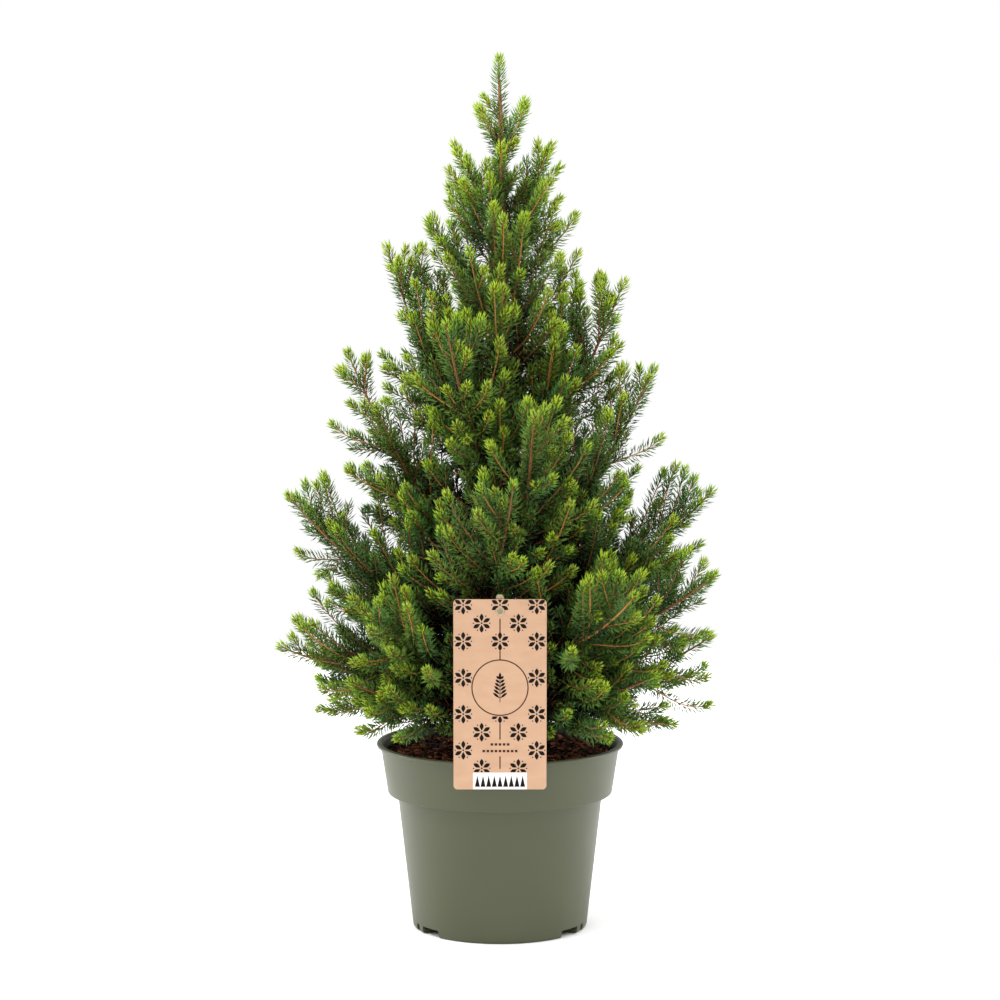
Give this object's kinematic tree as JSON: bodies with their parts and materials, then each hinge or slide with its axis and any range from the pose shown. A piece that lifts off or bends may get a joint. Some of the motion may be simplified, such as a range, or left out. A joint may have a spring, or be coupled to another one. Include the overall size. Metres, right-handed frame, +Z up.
{
  "type": "potted dwarf spruce tree",
  "caption": "Dense conical dwarf spruce with upswept needled boughs, in a round nursery pot with a hanging plant label.",
  "frame": {"origin": "centre of the pot's flat underside, where it stands", "axes": "+Z up along the trunk, +X to the right and -Y to the front, where the label hangs"},
  "size_m": [0.3324, 0.2904, 0.666],
  "materials": {
    "pot_plastic": "satin moulded olive",
    "potting_mix": "moist composted bark",
    "label_card": "matt printed card",
    "stake_plastic": "translucent pale plastic",
    "bark": "rough scaly bark",
    "needles": "waxy fresh green"
  },
  "bodies": {
    "root": {"pot": "pot_plastic", "potting_mix": "potting_mix", "plant_label": "label_card", "label_stake": "stake_plastic", "trunk": "bark", "foliage_leader": "needles", "bough_left_low": "bark", "foliage_left_low": "needles", "bough_right_low": "bark", "foliage_right_low": "needles", "bough_front_left_low": "bark", "foliage_front_left_low": "needles", "bough_front_right_low": "bark", "foliage_front_right_low": "needles", "bough_front_low": "bark", "foliage_front_low": "needles", "bough_back_left_low": "bark", "foliage_back_left_low": "needles", "bough_back_right_low": "bark", "foliage_back_right_low": "needles", "bough_left_lower": "bark", "foliage_left_lower": "needles", "bough_front_left_mid": "bark", "foliage_front_left_mid": "needles", "bough_front_right_mid": "bark", "foliage_front_right_mid": "needles", "bough_right_mid": "bark", "foliage_right_mid": "needles", "bough_back_right_mid": "bark", "foliage_back_right_mid": "needles", "bough_back_left_mid": "bark", "foliage_back_left_mid": "needles", "bough_back_mid": "bark", "foliage_back_mid": "needles", "bough_left_mid": "bark", "foliage_left_mid": "needles", "bough_front_mid": "bark", "foliage_front_mid": "needles", "bough_right_mid_upper": "bark", "foliage_right_mid_upper": "needles", "bough_back_right_upper": "bark", "foliage_back_right_upper": "needles", "bough_back_left_upper": "bark", "foliage_back_left_upper": "needles", "bough_left_upper": "bark", "foliage_left_upper": "needles", "bough_front_upper": "bark", "foliage_front_upper": "needles", "bough_right_upper": "bark", "foliage_right_upper": "needles", "bough_back_upper": "bark", "foliage_back_upper": "needles", "bough_left_high": "bark", "foliage_left_high": "needles", "bough_front_high": "bark", "foliage_front_high": "needles", "bough_right_high": "bark", "foliage_right_high": "needles", "bough_back_high": "bark", "foliage_back_high": "needles"}
  },
  "joints": []
}
